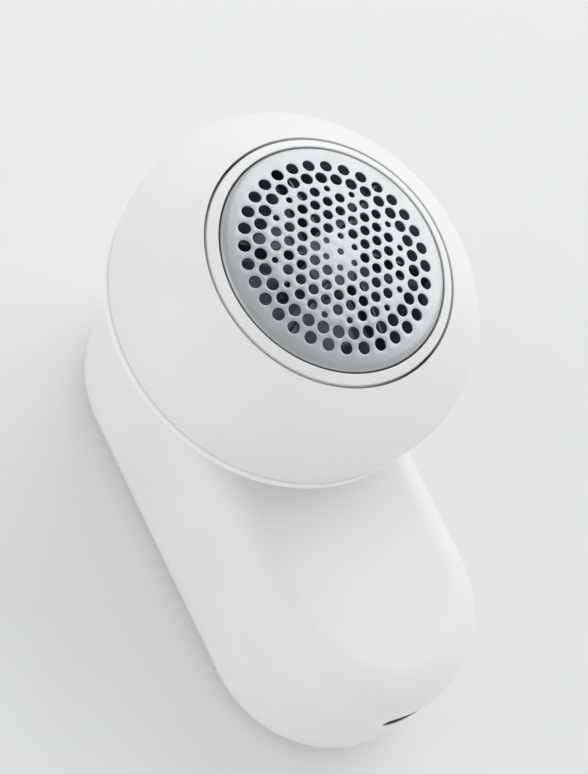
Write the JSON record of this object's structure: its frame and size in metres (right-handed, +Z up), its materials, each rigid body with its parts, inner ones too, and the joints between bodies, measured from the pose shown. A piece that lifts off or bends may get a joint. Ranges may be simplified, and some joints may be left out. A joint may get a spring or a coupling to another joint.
{
  "type": "fabric shaver",
  "caption": "Palm-size rechargeable fabric shaver: round cutting head with a domed perforated foil over one end of a pill-shaped handle.",
  "frame": {"origin": "centre of the bounding box at the underside of the handle, which is the rest face", "axes": "+X along the handle from the head to the tail, +Z up out of the cutting foil"},
  "size_m": [0.1154, 0.0734, 0.0734],
  "materials": {
    "shell_white": "fine satin ABS moulding, off-white",
    "ring_white": "smooth semi-gloss ring",
    "button_grey": "fine satin",
    "foil_steel": "satin stainless foil with punched holes",
    "blade_steel": "dark hardened blade steel",
    "carrier_plastic": "moulded grey engineering plastic",
    "screw_steel": "zinc plated",
    "motor_steel": "plated can",
    "usb_steel": "nickel plated sleeve",
    "black_plastic": "moulded black",
    "brass": "plain",
    "copper": "enamelled copper wire",
    "rubber": "silicone",
    "pcb_green": "solder mask",
    "cell_wrap": "shrink wrap",
    "lens_clear": "frosted light pipe",
    "wire_red": "wire jacket",
    "wire_black": "wire jacket"
  },
  "bodies": {
    "handle": {"base_cover": "shell_white", "battery_cell": "cell_wrap", "battery_cradle": "carrier_plastic", "battery_tabs": "brass", "bin_seal": "rubber", "button_switch": "black_plastic", "cover_screws": "screw_steel", "handle_shell": "shell_white", "head_screws": "screw_steel", "head_tray": "shell_white", "indicator_led": "lens_clear", "indicator_lens": "lens_clear", "interlock_lead": "wire_black", "interlock_switch": "black_plastic", "main_pcb": "pcb_green", "motor_brushes": "black_plastic", "motor_bushes": "brass", "motor_can": "motor_steel", "motor_end_cap": "carrier_plastic", "motor_lead_black": "wire_black", "motor_lead_red": "wire_red", "motor_magnets": "black_plastic", "motor_screws": "screw_steel", "motor_terminals": "brass", "neck_collar": "shell_white", "pcb_chips": "black_plastic", "port_board": "pcb_green", "port_liner": "black_plastic", "port_pins": "brass", "shaft_seal": "rubber", "usb_receptacle": "usb_steel", "usb_tongue": "black_plastic"},
    "rotor": {"motor_shaft": "screw_steel", "armature_core": "motor_steel", "armature_coils": "copper", "commutator": "brass", "drive_coupler": "carrier_plastic", "cutter_spring": "screw_steel"},
    "cutter": {"cutter_hub": "carrier_plastic", "cutter_blade_1": "blade_steel", "cutter_blade_2": "blade_steel", "cutter_blade_3": "blade_steel", "cutter_blade_4": "blade_steel", "cutter_blade_5": "blade_steel", "cutter_blade_6": "blade_steel"},
    "head_bowl": {"head_shell": "shell_white"},
    "foil_unit": {"foil_mesh": "foil_steel", "foil_carrier": "carrier_plastic"},
    "lock_ring": {"foil_ring": "ring_white"},
    "button": {"power_button": "button_grey"},
    "interlock": {"interlock_plunger": "carrier_plastic"}
  },
  "joints": [
    {"name": "rotor_spin", "type": "hinge", "parent": "handle", "child": "rotor", "pos_m": [-0.02102, 0, 0.06], "axis": [0, 0, 1], "continuous": true},
    {"name": "cutter_float", "type": "slide", "parent": "rotor", "child": "cutter", "axis": [0, 0, 1], "range_m": [-0.0008, 0], "stiffness_N_per_m": 400, "springref_m": 0.0008, "deforming": ["cutter_spring"]},
    {"name": "head_lift", "type": "slide", "parent": "handle", "child": "head_bowl", "axis": [0, 0, 1], "range_m": [0, 0.045]},
    {"name": "foil_lift", "type": "slide", "parent": "head_bowl", "child": "foil_unit", "axis": [0, 0, 1], "range_m": [0, 0.02]},
    {"name": "ring_twist", "type": "hinge", "parent": "foil_unit", "child": "lock_ring", "pos_m": [-0.02102, 0, 0.068], "axis": [0, 0, 1], "range_deg": [0, 25]},
    {"name": "button_press", "type": "slide", "parent": "handle", "child": "button", "axis": [0, 0, 1], "range_m": [0, 0.0008], "stiffness_N_per_m": 600, "springref_m": -0.0005},
    {"name": "interlock_press", "type": "slide", "parent": "handle", "child": "interlock", "axis": [0, 0, 1], "range_m": [-0.0006, 0], "stiffness_N_per_m": 300, "springref_m": 0.0005}
  ]
}
